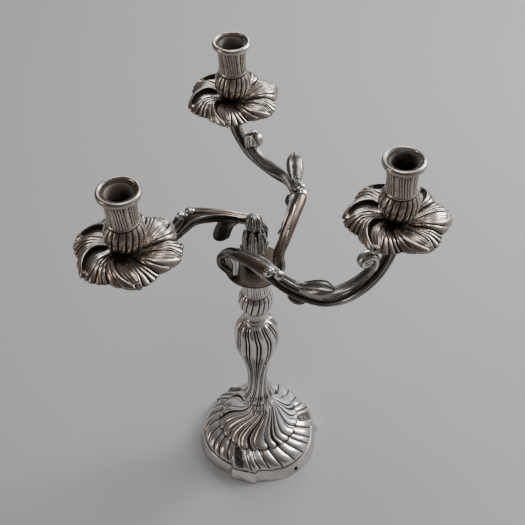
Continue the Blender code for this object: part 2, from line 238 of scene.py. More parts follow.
def shell(name, points, groove, material, loop=True):
    """One closed skin over rows of points; the depth of the chased lines, with painted shade, is kept
    on it.

    loop joins the last row to the first; otherwise each end is closed with a fan.
    """
    rows, columns = groove.shape
    points = points.reshape(-1, 3)
    groove = groove.reshape(-1)
    lower = np.arange(rows if loop else rows - 1)[:, None] * columns
    upper = (lower + columns) % (rows * columns)
    step = np.arange(columns)[None, :]
    turn = (step + 1) % columns
    quads = np.stack([lower + step, lower + turn, upper + turn, upper + step], 2).reshape(-1, 4)
    faces = quads.tolist()
    if not loop:
        for row in (0, rows - 1):
            ring = points[row * columns:(row + 1) * columns]
            centre = len(points)
            points = np.vstack([points, ring.mean(0)])
            groove = np.append(groove, groove[row * columns:(row + 1) * columns].mean())
            faces += [(row * columns + i, row * columns + (i + 1) % columns, centre)
                      for i in range(columns)]
    mesh = bpy.data.meshes.new(name)
    mesh.from_pydata((points * MM).tolist(), [], faces)
    shape = bmesh.new()
    shape.from_mesh(mesh)
    bmesh.ops.recalc_face_normals(shape, faces=shape.faces)
    shape.to_mesh(mesh)
    shape.free()
    mesh.attributes.new("groove", "FLOAT", "POINT").data.foreach_set("value", groove.astype(np.float32))
    mesh.shade_smooth()
    mesh.materials.append(material)
    piece = bpy.data.objects.new(name, mesh)
    bpy.context.scene.collection.objects.link(piece)
    return piece


def group_socket(group, name, way, kind, value=None):
    socket = group.interface.new_socket(name, in_out=way, socket_type=kind)
    if value is not None:
        socket.default_value = value


def build_wear_and_painted_shade():
    """Node group: plate bright where it is rubbed, brown where handled, black in the lines, where the
    groove value brings both tarnish and painted shade.

    A groove value above 1.3 stands for a candle bore smeared with old wax.
    """
    group = bpy.data.node_groups.new("silver_wear_and_painted_shade", "ShaderNodeTree")
    for name, colour in (("Bright", (0.8, 0.78, 0.75, 1)), ("Tarnish", (0.4, 0.3, 0.22, 1)),
                         ("Oxide", (0.03, 0.025, 0.02, 1)), ("Wax", (0.26, 0.225, 0.195, 1))):
        group_socket(group, name, "INPUT", "NodeSocketColor", colour)
    for name, value in (("Amount", 0.3), ("Depth", 0.5), ("Gloss", 0.2)):
        group_socket(group, name, "INPUT", "NodeSocketFloat", value)
    group_socket(group, "Colour", "OUTPUT", "NodeSocketColor")
    for name in ("Roughness", "Metallic", "Height"):
        group_socket(group, name, "OUTPUT", "NodeSocketFloat")
    nodes, links = group.nodes, group.links
    given = nodes.new("NodeGroupInput")
    result = nodes.new("NodeGroupOutput")
    place = nodes.new("ShaderNodeTexCoord")
    lines = nodes.new("ShaderNodeAttribute")
    lines.attribute_name = "groove"
    groove = lines.outputs["Fac"]

    def noise(scale, detail, roughness=0.6):
        node = nodes.new("ShaderNodeTexNoise")
        node.inputs["Scale"].default_value = scale
        node.inputs["Detail"].default_value = detail
        node.inputs["Roughness"].default_value = roughness
        join(place, "Object", node, "Vector")
        return node.outputs["Fac"]

    def calc(operation, first, second, clamp=False):
        node = nodes.new("ShaderNodeMath")
        node.operation = operation
        node.use_clamp = clamp
        for socket, value in zip(node.inputs, (first, second)):
            if isinstance(value, (int, float)):
                socket.default_value = value
            else:
                links.new(value, socket)
        return node.outputs[0]

    def mix(share, first, second):
        node = nodes.new("ShaderNodeMix")
        node.data_type = "RGBA"
        links.new(share, node.inputs["Factor"])
        links.new(first, node.inputs["A"])
        links.new(second, node.inputs["B"])
        return node.outputs["Result"]

    patches = calc("MULTIPLY", calc("SUBTRACT", noise(42.0, 5.0), 0.5), 2.6)
    specks = calc("SUBTRACT", noise(420.0, 4.0, 0.7), 0.5)
    film = calc("ADD", given.outputs["Amount"], calc("MULTIPLY", patches, 0.55))
    film = calc("ADD", film, calc("MULTIPLY", specks, 0.7))
    # The groove value darkens and dulls the plate: tarnish in the chased lines, and painted shade in
    # hollows, under tips and lips, and in the pans.
    film = calc("ADD", film, calc("MULTIPLY", groove, 0.55), True)
    black = calc("ADD", calc("MULTIPLY", groove, 1.5), calc("MULTIPLY", specks, 0.8))
    black = calc("SUBTRACT", black, calc("SUBTRACT", 1.05, given.outputs["Depth"]))
    black = calc("MULTIPLY", black, 1.6, True)
    smear = calc("ADD", calc("MULTIPLY", patches, 2.0), 0.9)
    wax = calc("MULTIPLY", calc("SUBTRACT", groove, 1.3), smear, True)
    silver = mix(film, given.outputs["Bright"], given.outputs["Tarnish"])
    plate = mix(black, silver, given.outputs["Oxide"])
    links.new(mix(wax, plate, given.outputs["Wax"]), result.inputs["Colour"])
    dull = calc("ADD", given.outputs["Gloss"], calc("MULTIPLY", film, 0.14))
    dull = calc("ADD", dull, calc("MULTIPLY", black, 0.28))
    dull = calc("ADD", dull, calc("MULTIPLY", specks, 0.12), True)
    links.new(dull, result.inputs["Roughness"])
    metal = calc("SUBTRACT", 1.0, calc("MULTIPLY", black, 0.45))
    links.new(calc("MULTIPLY", metal, calc("SUBTRACT", 1.0, wax)), result.inputs["Metallic"])
    links.new(calc("ADD", noise(900.0, 3.0), calc("MULTIPLY", noise(110.0, 2.0), 1.6)),
              result.inputs["Height"])
    return group


silver_wear_and_painted_shade = build_wear_and_painted_shade()


def silver_finish(name, bright, tarnish, oxide, amount, depth, gloss, relief=0.05):
    """Material with the wear and painted shade group set for one part of the candelabrum."""
    material = bpy.data.materials.new(name)
    material.use_nodes = True
    nodes = material.node_tree.nodes
    shader = nodes["Principled BSDF"]
    wear = nodes.new("ShaderNodeGroup")
    wear.node_tree = silver_wear_and_painted_shade
    for socket, value in (("Bright", bright), ("Tarnish", tarnish), ("Oxide", oxide)):
        wear.inputs[socket].default_value = (*value, 1)
    wear.inputs["Amount"].default_value = amount
    wear.inputs["Depth"].default_value = depth
    wear.inputs["Gloss"].default_value = gloss
    bump = nodes.new("ShaderNodeBump")
    bump.inputs["Strength"].default_value = 0.35
    bump.inputs["Distance"].default_value = relief * MM
    join(wear, "Colour", shader, "Base Color")
    join(wear, "Roughness", shader, "Roughness")
    join(wear, "Metallic", shader, "Metallic")
    join(wear, "Height", bump, "Height")
    join(bump, "Normal", shader, "Normal")
    return material


foot_silver = silver_finish(
    "foot_silver", (0.90, 0.88, 0.86), (0.25, 0.20, 0.165),
    (0.018, 0.014, 0.011), 0.27, 0.80, 0.18)


def rim_scale(turn, radius):
    """The rim swells between three flat brackets, whose corners stand out."""
    off = np.abs((turn - FIRST_BRACKET + 60.0) % 120.0 - 60.0)
    chord = BRACKET_CORNER * cos(radians(BRACKET_HALF))
    flat = chord / np.cos(np.radians(np.minimum(off, BRACKET_HALF)))
    ease = np.clip((off - BRACKET_HALF) / BRACKET_EASE, 0, 1)
    belly = (RIM_BELLY - FOOT_RIM) * blend(*BELLY_SPAN, off)
    corner = (BRACKET_CORNER - FOOT_RIM) * (1 - ease) ** 2.2
    edge = np.where(off <= BRACKET_HALF, flat, FOOT_RIM + belly + corner)
    return 1 + (edge / FOOT_RIM - 1) * blend(34.0, 60.0, radius)


DOME_SWAY = smooth_line([
    (12, 46), (14, 42), (16, 36), (18, 28), (20, 21), (22, 15), (26, 6.5), (30, 2), (34, -0.5),
    (38, 0), (43, 4.5), (48, 9)
], 0.5)
TIER_SWAY = smooth_line([(40, -6), (44, -4), (47, -2.5), (52, 0), (57, 3.5), (62, 8), (67, 12)], 0.5)
DOME_BORDERS = [-57.5, -40.5, -36.6, -22.0, -16.6, -4.0, -0.5, 6.5, 27.3, 40.0, 43.5, 50.0, 62.5]
TIER_BORDERS = [-27.1, 0.7, 9.6, 19.6, 33.4, 48.4, 60.7, 72.3, 80.7, 92.9]


def foot_sway(radius):
    """The columns of the shell follow the swirl, so that each chased line stays clean."""
    dome = np.interp(radius, DOME_SWAY[:, 0], DOME_SWAY[:, 1])
    tier = np.interp(radius, TIER_SWAY[:, 0], TIER_SWAY[:, 1])
    return dome + (tier - dome) * blend(40.5, 46.0, radius)


def foot_relief(radius, turn):
    """Height of the chased relief over the plain foot, and the depth of the chased lines, with painted
    shade in the scoops and painted shadow under the lobes' tips.
    """
    # dome: long S-shaped lobes with a fine reed in each chased line, ending in round tips
    swirled = turn - FIRST_BRACKET - np.interp(radius, DOME_SWAY[:, 0], DOME_SWAY[:, 1])
    across, width = flute(swirled, DOME_BORDERS)
    reed, gap = width < REED_WIDTH, width < GAP_WIDTH
    lobe_size = np.clip(1.2 + 0.10 * width, 2.2, 3.2)
    size = np.where(gap, 0.0, np.where(reed, 1.1, lobe_size)) * (radius / 43.0) ** 0.6
    dome = rounded(across) * size - np.where(reed, 0.9, 0.6)
    lobe_lines = np.where(reed, chased(across, 0.42, 0.5), chased(across, 2.2 / width, 0.4))
    dome_lines = np.where(gap, 0.95, lobe_lines)
    inside = LOBE_TIP + TIP_REACH * rounded(across, 0.7) - radius
    over = np.sqrt(1 - (1 - np.clip(inside / 2.2, 0, 1)) ** 2)
    # low tier: reeds and broad flutes that swirl on outwards, and a scooped panel by each bracket
    swirled = turn - FIRST_BRACKET - np.interp(radius, TIER_SWAY[:, 0], TIER_SWAY[:, 1])
    across, width = flute(swirled, TIER_BORDERS)
    panel = width > PANEL_WIDTH
    outside = np.abs((across - 0.12) / 0.50) ** 2.5 + np.abs((radius - SCOOP_MIDDLE) / SCOOP_HALF) ** 3
    scoop = 1 - outside
    scooped = 1.5 * blend(0, 0.22, 1 - np.abs(across)) - SCOOP_DEPTH * np.sqrt(np.clip(scoop, 0, 1))
    fluted = (rounded(across, 0.6) - 0.3) * np.clip(0.7 + 0.11 * width, 1.5, 2.3)
    tier = np.where(panel, scooped, fluted)
    tier_lines = chased(across, np.clip(1.9 / width, 0.06, 0.5), 0.35)
    # The scoops are painted darker towards their middle: painted shade in the hollow.
    scoop_lines = np.maximum(tier_lines, 0.12 + 0.42 * (scoop > 0) * blend(-0.3, 0.6, scoop))
    tier_lines = np.where(panel, scoop_lines, tier_lines)
    fade = blend(62.3, 60.6, radius)
    tier, tier_lines = tier * fade, tier_lines * fade
    # Painted shadow just outside the dome's round tips, where they stand over the low tier.
    painted_tip_shadow = np.where(inside < 0, np.exp(-(inside / 1.3) ** 2), 0)
    height = tier * (1 - over) + (LOBE_STEP + dome) * over
    lines = np.maximum(tier_lines * (1 - over), dome_lines * over)
    return height, np.maximum(lines, 0.9 * painted_tip_shadow)


foot_high = heights("foot_shell")[1]
rim_line = smooth_line([(FOOT_RIM, CLEAR), (66.7, 3.5), (65.1, 8.5), (63.8, 12.2), (63.4, 13.1)], 0.7)
rim_bead = np.array([(63.1, 13.45), (62.75, 13.5), (62.5, 13.2), (62.35, 12.9), (62.2, 13.2)])
tier_line = smooth_line([
    (62.0, 13.8), (61.5, 16.0), (59.2, 20.4), (55.4, 24.4), (50.6, 27.3), (45.6, 29.6),
    (41.0, 32.8), (36.5, 36.2), (32.0, 40.0), (27.5, 44.3), (23.0, 49.2), (19.6, 53.8),
    (17.0, 58.2), (14.9, 62.8), (13.8, 66.3)
], 0.42)
knuckle_line = smooth_line([
    (13.5, 67.4), (14.0, 69.0), (14.2, 71.5), (13.5, 74.4), (12.6, foot_high)
], 0.5)
inner_line = np.array([
    (4.2, foot_high), (4.2, 73.4), (10.2, 72.6), (11.4, 64.8), (20.6, 47.0), (40.4, 30.4),
    (44.4, 26.4), (57.0, 18.6), (60.4, 12.0), (64.6, CLEAR)
])
profile = np.vstack([rim_line, rim_bead, tier_line, knuckle_line, inner_line])
facing = outward(profile)
radius, height = profile[:, 0:1], profile[:, 1:2]
turn = np.linspace(0, 360, FOOT_COLUMNS, endpoint=False)[None, :] + foot_sway(radius)
angles = np.radians(turn)
row = np.arange(len(profile))[:, None]
first_tier = len(rim_line) + len(rim_bead)
first_knuckle = first_tier + len(tier_line)
first_inner = first_knuckle + len(knuckle_line)
relief, lines = foot_relief(radius, turn)
chased_rows = (row >= first_tier) & (row < first_knuckle)
knuckles = flute(turn + 0 * radius, np.arange(0, 375, 15.0))[0]
bead = rounded(knuckles) * 1.4 * np.sin(pi * blend(66.8, 76.0, height)) ** 0.6
knuckle_rows = (row >= first_knuckle) & (row < first_inner)
relief = np.where(chased_rows, relief * blend(13.6, 15.5, radius), np.where(knuckle_rows, bead, 0))
lines = np.where(chased_rows, lines, np.where(knuckle_rows, chased(knuckles, 0.3), 0.0))
lines = np.where((row >= len(rim_line) + 2) & (row < first_tier + 2), 0.95, lines)
lines = np.where(row >= first_inner, 0.4, lines)
# Painted shade: a dark patch round the vent hole, darkest at its middle.
off_vent = (turn - VENT_BEARING + 180.0) % 360.0 - 180.0
vent_ring = 1.1 * np.exp(-((off_vent * 1.2) ** 2 + (height - VENT_HEIGHT) ** 2) / 6.0) * (radius > 64)
lines = np.maximum(lines, vent_ring)
bent = (radius + relief * facing[:, 0:1]) * rim_scale(turn, radius)
level = height + relief * facing[:, 1:2] + 0 * turn
points = np.stack([bent * np.cos(angles), bent * np.sin(angles), level], 2)
foot = shell("foot_shell_chased", points, lines, foot_silver)

drill_mesh = bpy.data.meshes.new("vent_drill")
drill = bpy.data.objects.new("vent_drill", drill_mesh)
bpy.context.scene.collection.objects.link(drill)
shape = bmesh.new()
bmesh.ops.create_cone(shape, cap_ends=True, segments=32, radius1=VENT_RADIUS * MM,
                      radius2=VENT_RADIUS * MM, depth=20 * MM)
shape.to_mesh(drill_mesh)
shape.free()
drill.matrix_world = (Matrix.Rotation(radians(VENT_BEARING), 4, "Z")
                      @ Matrix.Translation((VENT_REACH * MM, 0, VENT_HEIGHT * MM))
                      @ Matrix.Rotation(pi / 2, 4, "Y"))
cut = foot.modifiers.new("vent", "BOOLEAN")
cut.operation = "DIFFERENCE"
cut.object = drill
bpy.context.view_layer.update()
drilled = bpy.data.meshes.new_from_object(foot.evaluated_get(bpy.context.evaluated_depsgraph_get()))
foot.modifiers.clear()
foot.data = drilled
bpy.data.objects.remove(drill)
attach(foot, "candlestick")
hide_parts("foot_shell")


# ---------- underside
# A thin iron plate closes the hollow foot, and a disc of dark green felt is glued on it to
# save the table. Both keep their plain round shape and only take their finish here.

def rough_finish(name, dark, light, scale, roughness, metallic, relief):
    """Plain material mottled between two tones, for the pieces that are never polished."""
    material = bpy.data.materials.new(name)
    material.use_nodes = True
    nodes = material.node_tree.nodes
    shader = nodes["Principled BSDF"]
    shader.inputs["Metallic"].default_value = metallic
    place = nodes.new("ShaderNodeTexCoord")
    noise = nodes.new("ShaderNodeTexNoise")
    noise.inputs["Scale"].default_value = scale
    noise.inputs["Detail"].default_value = 6.0
    tones = nodes.new("ShaderNodeValToRGB")
    tones.color_ramp.elements[0].position = 0.35
    tones.color_ramp.elements[0].color = (*dark, 1)
    tones.color_ramp.elements[1].position = 0.68
    tones.color_ramp.elements[1].color = (*light, 1)
    dullness = nodes.new("ShaderNodeMapRange")
    dullness.inputs["To Min"].default_value = roughness - 0.1
    dullness.inputs["To Max"].default_value = roughness + 0.1
    bump = nodes.new("ShaderNodeBump")
    bump.inputs["Strength"].default_value = 0.5
    bump.inputs["Distance"].default_value = relief * MM
    join(place, "Object", noise, "Vector")
    join(noise, "Fac", tones, "Fac")
    join(noise, "Fac", dullness, "Value")
    join(noise, "Fac", bump, "Height")
    join(tones, "Color", shader, "Base Color")
    join(dullness, "Result", shader, "Roughness")
    join(bump, "Normal", shader, "Normal")
    return material


def refinish(node, material):
    """Give a carried-over solid its finish."""
    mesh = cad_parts[node].data
    mesh.materials.clear()
    mesh.materials.append(material)


felt = rough_finish("felt_nap", (0.018, 0.045, 0.024), (0.05, 0.10, 0.06), 900.0, 0.9, 0.0, 0.4)
iron = rough_finish("bare_iron", (0.10, 0.085, 0.075), (0.30, 0.29, 0.28), 180.0, 0.5, 0.9, 0.08)
refinish("felt_pad", felt)
refinish("foot_plate", iron)


# ---------- tie rod, washer and nut
# Iron rod with a turned head in the bottom of the stick's socket and a nut and washer under
# the crown of the foot; it clamps the castings of the stick together.

for fitting in ("tie_rod", "tie_washer", "tie_nut"):
    refinish(fitting, iron)


# ---------- baluster stem
# Hollow cast baluster, chased with a dozen broad flutes that lean round the waist and stand
# upright on the belly, with a slim reed between each two. Its lower end flares into a ring.

STEM_COLUMNS = 480
STEM_FLUTES = [0, 18, 21, 27, 30]  # degrees: flute, line, reed, line
ROD_BORE = 3.6
STEM_SKIN = 9.0  # nearer the axis than this is the hollow inside
stem_silver = silver_finish(
    "stem_silver", (0.79, 0.77, 0.74), (0.28, 0.235, 0.20),
    (0.025, 0.019, 0.016), 0.31, 0.74, 0.16)


def revolved(name, profile, relief, lines, columns, material, centre=(0.0, 0.0), sway=None, low=0.0):
    """Closed turned shell: relief(radius, height, turn) stands out along the profile's normal.

    sway(height) turns each row, so that the columns run along slanted flutes, and low is the
    height at which the profile starts.
    """
    facing = outward(profile)
    radius, height = profile[:, 0:1], profile[:, 1:2]
    turn = np.linspace(0, 360, columns, endpoint=False)[None, :] + (sway(height) if sway else 0)
    angles = np.radians(turn)
    level = 0 * radius + 0 * turn
    raised = level + (relief(radius, height, turn) if relief else 0)
    marks = level + (lines(radius, height, turn) if lines else 0)
    bent = radius + raised * facing[:, 0:1]
    level = low + height + raised * facing[:, 1:2]
    points = np.stack([centre[0] + bent * np.cos(angles), centre[1] + bent * np.sin(angles), level], 2)
    return shell(name, points, marks, material)


stem_low, stem_high = heights("baluster_stem")
outside = smooth_line([
    (13.0, stem_low + CLEAR), (15.6, 79.0), (17.0, 82.5), (16.3, 86.5), (13.6, 91.0), (11.5, 98.0),
    (10.6, 108.0), (10.6, 117.0), (11.6, 129.0), (13.9, 143.0), (17.6, 156.5), (21.2, 168.5),
    (23.1, 180.0), (23.1, 190.0), (21.4, 200.0), (17.6, 208.0), (13.6, 212.3),
    (12.0, stem_high - CLEAR)
], 0.55)
inside = np.array([
    (ROD_BORE, stem_high - CLEAR), (ROD_BORE, 209.0), (13.0, 207.0), (19.6, 188.0), (19.2, 177.0),
    (11.0, 145.0), (8.2, 126.0), (7.8, 98.0), (ROD_BORE, 90.0), (ROD_BORE, stem_low + CLEAR)
])
lean = smooth_line([
    (76, -4), (84, 0), (100, 12), (125, 23), (150, 29), (187, 34), (200, 30), (214, 20)
], 1.0)


def stem_lean(height):
    return np.interp(height, lean[:, 0], lean[:, 1])


def stem_flutes(height, turn):
    return flute(turn - stem_lean(height), STEM_FLUTES)


def stem_relief(radius, height, turn):
    across, width = stem_flutes(height, turn)
    size = np.where(width > 15, 0.105, np.where(width > 5, 0.055, -0.01)) * radius
    ends = blend(77.5, 81.0, height) * blend(213.6, 209.5, height) * (radius > STEM_SKIN)
    return (rounded(across) * size - 0.04 * radius) * ends


def stem_lines(radius, height, turn):
    across, width = stem_flutes(height, turn)
    ends = blend(78.0, 82.0, height) * blend(213.0, 209.0, height)
    marks = np.where(width < 5, 0.95, chased(across, 1.6 / width, 0.35))
    return np.where(radius > STEM_SKIN, marks * ends, 0.4)


stem = revolved("baluster_stem_chased", np.vstack([outside, inside]), stem_relief, stem_lines,
                STEM_COLUMNS, stem_silver, sway=stem_lean)
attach(stem, "candlestick")
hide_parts("baluster_stem")


# ---------- stem collar
# Plain waisted collar, turned and left smooth, that seats the candle socket on the baluster.

collar_silver = silver_finish(
    "collar_silver", (0.72, 0.67, 0.64), (0.38, 0.29, 0.24),
    (0.05, 0.035, 0.03), 0.34, 0.35, 0.20)
collar_low, collar_high = heights("stem_collar")
outside = smooth_line([
    (11.9, collar_low + CLEAR), (12.35, 215.2), (12.2, 216.6), (11.0, 218.6), (10.0, 221.4),
    (9.5, 224.0), (9.8, collar_high - CLEAR)
], 0.4)
inside = np.array([(ROD_BORE, collar_high - CLEAR), (ROD_BORE, collar_low + CLEAR)])


def collar_tarnish(radius, height, turn):
    return 0.5 * blend(222.0, 226.0, height) + 0.5 * blend(216.0, 214.4, height)


collar = revolved("stem_collar_turned", np.vstack([outside, inside]), None, collar_tarnish, 96,
                  collar_silver)
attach(collar, "candlestick")
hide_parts("stem_collar")


# ---------- candle sockets
# The stick's socket and the three cups are one pattern: a squat bulb of broad and narrow
# gadroons and, seamed on it, a slanted fluted neck with a plain rolled lip and the candle
# bore, smeared with old wax.

CUP_COLUMNS = 300
CANDLE_BORE = 11.0
BULB_LEAN = 0.55  # degrees of slant per millimetre of height
BULB_FLUTES = [0, 22, 40, 60]
NECK_LEAN = -0.42
NECK_FLUTES = [0, 21, 31, 41, 51, 60]
cup_silver = silver_finish(
    "cup_silver", (0.74, 0.69, 0.62), (0.225, 0.17, 0.125),
    (0.022, 0.016, 0.012), 0.47, 0.71, 0.20)
socket_silver = silver_finish(
    "socket_silver", (0.82, 0.78, 0.76), (0.32, 0.26, 0.225),
    (0.028, 0.021, 0.018), 0.31, 0.71, 0.18)


def cup_bulb(name, base_radius, low, centre, material):
    outside = smooth_line([
        (base_radius, 0.1), (12.4, 2.6), (15.2, 7.2), (16.9, 12.5), (17.3, 18.0), (16.8, 22.8),
        (15.4, 26.6), (14.0, 28.95)
    ], 0.45)
    inside = np.array([(CANDLE_BORE, 28.95), (CANDLE_BORE, 10.2), (ROD_BORE, 10.0), (ROD_BORE, 0.1)])
    cast = CANDLE_BORE + 0.2

    def relief(radius, height, turn):
        across, width = flute(turn - BULB_LEAN * height, BULB_FLUTES)
        swell = (1.5 + 0.045 * width) * np.sin(pi * blend(-6.0, 32.0, height)) ** 0.8
        return np.where(radius > cast, (rounded(across) - 0.55) * swell * 1.15, 0)

    def lines(radius, height, turn):
        across, width = flute(turn - BULB_LEAN * height, BULB_FLUTES)
        seam = blend(27.6, 29.0, height)
        return np.where(radius > cast, np.maximum(chased(across, 6.5 / width, 0.8), seam), 0.6)

    return revolved(name, np.vstack([outside, inside]), relief, lines, CUP_COLUMNS, material, centre,
                    lambda height: BULB_LEAN * height, low)


def cup_neck(name, low, centre, material):
    neck = smooth_line([
        (14.3, 29.35), (14.35, 30.4), (13.5, 32.0), (13.0, 36.0), (13.0, 42.0), (13.4, 48.0),
        (14.3, 53.5), (15.2, 56.0)
    ], 0.45)
    lip = smooth_line([
        (15.6, 56.4), (17.6, 57.0), (18.8, 58.4), (19.0, 60.2), (18.5, 61.9), (17.3, 62.9),
        (16.1, 62.7), (15.3, 61.6), (14.2, 61.0), (12.6, 60.7), (11.5, 60.0), (11.05, 58.4)
    ], 0.35)
    bore = np.array([(CANDLE_BORE, level) for level in (56.0, 45.0, 36.0, 29.35)])

    def relief(radius, height, turn):
        across, width = flute(turn - NECK_LEAN * height, NECK_FLUTES)
        ends = blend(31.0, 33.0, height) * blend(56.0, 54.6, height)
        return np.where(radius > 11.5, (rounded(across) - 0.6) * (0.9 + 0.025 * width) * ends, 0)

    def lines(radius, height, turn):
        across, width = flute(turn - NECK_LEAN * height, NECK_FLUTES)
        ends = blend(30.5, 32.5, height) * blend(56.6, 55.0, height)
        fluted = chased(across, 2.8 / width, 0.4) * ends
        # Painted shade: a dark band under the rolled lip, and the inner slope of the lip down to the
        # bore painted darker.
        under_lip = 0.8 * np.exp(-((height - 56.2) / 0.7) ** 2)
        inside_lip = 0.65 * blend(62.0, 61.2, height) * (radius < 15.8) * (height > 57)
        bore_wax = 2.1 - 1.1 * blend(52.0, 34.0, height)
        return np.where(radius > 11.6, np.maximum(np.maximum(fluted, under_lip), inside_lip), bore_wax)

    return revolved(name, np.vstack([neck, lip, bore]), relief, lines, CUP_COLUMNS, material, centre,
                    lambda height: NECK_LEAN * height, low)


def middle_of(node):
    """Centre of a round node, across, in millimetres."""
    low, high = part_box(node)
    return ((low.x + high.x) / 2 / MM, (low.y + high.y) / 2 / MM)


SIDES = ("back", "left", "right")
CUPS = [("candlestick", "socket_{}", 9.6, socket_silver)]
CUPS += [("cup_" + side, "cup_{}_" + side, 10.6, cup_silver) for side in SIDES]
for body, node_name, base_radius, material in CUPS:
    bulb_node, neck_node = node_name.format("bulb"), node_name.format("neck")
    low = heights(bulb_node)[0]
    centre = middle_of(bulb_node)
    bulb = cup_bulb(bulb_node + "_chased", base_radius, low, centre, material)
    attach(bulb, body)
    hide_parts(bulb_node)
    neck = cup_neck(neck_node + "_chased", low, centre, material)
    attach(neck, body)
    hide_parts(neck_node)


# ---------- branch disc
# Plain turned brass disc with a soft edge; it closes the stick's socket and carries the arms.
# Its lacquer and polish are gone, and it has gone a flat brown-black.

disc_patina = silver_finish(
    "disc_patina", (0.17, 0.14, 0.115), (0.085, 0.066, 0.05),
    (0.02, 0.016, 0.013), 0.45, 0.35, 0.42, 0.12)
disc_low, disc_high = heights("branch_disc")
SCREW_BORE = 2.9
face, top = disc_low + CLEAR, disc_high - CLEAR
edge = smooth_line([
    (29.2, face), (30.3, disc_low + 0.6), (30.5, disc_low + 1.3), (30.1, disc_high - 0.35),
    (29.0, top)
], 0.25)
profile = np.vstack([np.array([(SCREW_BORE, face), (12.0, face), (24.0, face)]), edge,
                     np.array([(28.2, disc_high - 0.25), (27.4, top), (20.0, top), (12.0, top),
                               (SCREW_BORE, top)])])


def turned_line(radius, height, turn):
    return 0.5 * np.exp(-((radius - 28.2) / 0.6) ** 2)


disc = revolved("branch_disc_turned", profile, None, turned_line, 144, disc_patina)
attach(disc, "branch")
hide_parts("branch_disc")


# ---------- spigot and centre screw
# Turned brass plug, dull from years in the socket, held up to the disc by one long iron screw
# that also draws the finial down. Both are hidden until the branch unit is lifted out.

plug_brass = rough_finish("plug_brass", (0.34, 0.24, 0.11), (0.62, 0.47, 0.24), 240.0, 0.42, 1.0, 0.05)
refinish("branch_spigot", plug_brass)
refinish("centre_screw", iron)


# ---------- finial
# Cast bud of six pairs of pointed, veined leaves, screwed down on the arms, and over it a
# loose cap chased into six round lobes. Both are dark, with the high points rubbed bright.

FINIAL_COLUMNS = 216
BUD_SKIN = 4.0  # nearer the axis than this is the screw's bore
finial_silver = silver_finish(
    "finial_silver", (0.66, 0.64, 0.61), (0.13, 0.115, 0.10),
    (0.014, 0.012, 0.010), 0.52, 0.62, 0.18)


def leaf_tier(height, turn, foot, tip, shift, size):
    """Six pointed leaves round the bud: how far they stand out, and how deep their lines lie."""
    along = np.clip((height - foot) / (tip - foot), 0, 1)
    off = (turn - shift + 30.0) % 60.0 - 30.0
    half_width = size * np.sqrt(np.clip(1 - along**3, 0, 1)) + 0.01
    across = off / half_width
    inside = (np.abs(across) < 1) & (along < 1)
    vein = 0.7 * np.exp(-(off / 2.4) ** 2)
    body = (1.1 + 1.0 * along**2) * np.sqrt(np.clip(1 - across**2, 0, 1)) + vein
    lines = chased(across, 0.22) + 0.5 * np.exp(-((np.abs(off) - 6.0) / 2.4) ** 2) - vein
    return np.where(inside, body, 0), np.where(inside, lines, 0.9)


def bud_leaves(height, turn):
    """The front layer wins: low leaves, then the tall ones between them, then the crown."""
    low = leaf_tier(height, turn, bud_low - 4.0, bud_low + 30.0, 0.0, 26.0)
    tall = leaf_tier(height, turn, bud_low - 4.0, bud_low + 45.0, 30.0, 21.0)
    crown = leaf_tier(height, turn, bud_low + 36.0, bud_low + 51.0, 8.0, 27.0)
    raised = np.maximum(np.maximum(low[0] * 1.25, tall[0]), crown[0] * 0.9)
    marks = np.where(low[0] * 1.25 >= raised, low[1], np.where(tall[0] >= raised, tall[1], crown[1]))
    return raised, marks


def bud_relief(radius, height, turn):
    return np.where(radius > BUD_SKIN, bud_leaves(height, turn)[0] - 0.8, 0)


def bud_lines(radius, height, turn):
    return np.where(radius > BUD_SKIN, bud_leaves(height, turn)[1], 0.9)


bud_low, bud_high = heights("finial_bud")
outside = smooth_line([
    (7.4, bud_low + CLEAR), (8.8, 297.0), (8.6, 302.0), (10.2, 309.0), (11.7, 317.0), (11.8, 325.0),
    (10.2, 333.0), (8.3, 338.5), (7.6, bud_high - CLEAR)
], 0.5)
inside = np.array([(SCREW_BORE, bud_high - CLEAR), (SCREW_BORE, bud_low + CLEAR)])
bud = revolved("finial_bud_chased", np.vstack([outside, inside]), bud_relief, bud_lines,
               FINIAL_COLUMNS, finial_silver)
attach(bud, "branch")
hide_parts("finial_bud")

cap_low, cap_high = heights("finial_cap")
CAP_LOBES = [0, 44, 60]


def cap_relief(radius, height, turn):
    across, width = flute(turn, CAP_LOBES)
    return (rounded(across) - 0.4) * np.where(width > 20, 1.9, 1.0) * np.clip(radius / 7.0, 0, 1)


def cap_lines(radius, height, turn):
    across, width = flute(turn, CAP_LOBES)
    return chased(across, 6.0 / width)


outside = smooth_line([
    (5.6, cap_low + CLEAR), (7.0, 344.6), (7.8, 348.4), (7.4, 352.6), (5.8, 356.4), (3.2, 359.0),
    (0.12, cap_high - 0.1)
], 0.35)
inside = np.array([(0.12, cap_low + 4.0), (2.5, cap_low + 3.0), (SCREW_BORE, cap_low + CLEAR)])
cap = revolved("finial_cap_chased", np.vstack([outside, inside]), cap_relief, cap_lines,
               FINIAL_COLUMNS, finial_silver)
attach(cap, "branch")
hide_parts("finial_cap")


# ---------- arms
# Each arm is one casting of several rococo strands: a volute standing on the disc, a broad
# brown band rolled over it, a reeded stem that swings out low and turns up under the pan, a
# spoon leaf, an almond bud, and a channelled inner strand that ends in a tight bright curl.

stem_dark = silver_finish(
    "arm_gunmetal", (0.62, 0.60, 0.57), (0.085, 0.075, 0.065),
    (0.010, 0.008, 0.007), 0.74, 0.62, 0.18)
band_brown = silver_finish(
    "arm_brown", (0.25, 0.20, 0.165), (0.095, 0.064, 0.046),
    (0.014, 0.010, 0.008), 0.66, 0.45, 0.22)
curl_bright = silver_finish(
    "arm_rubbed", (0.72, 0.70, 0.67), (0.20, 0.17, 0.145),
    (0.014, 0.011, 0.009), 0.40, 0.60, 0.16)

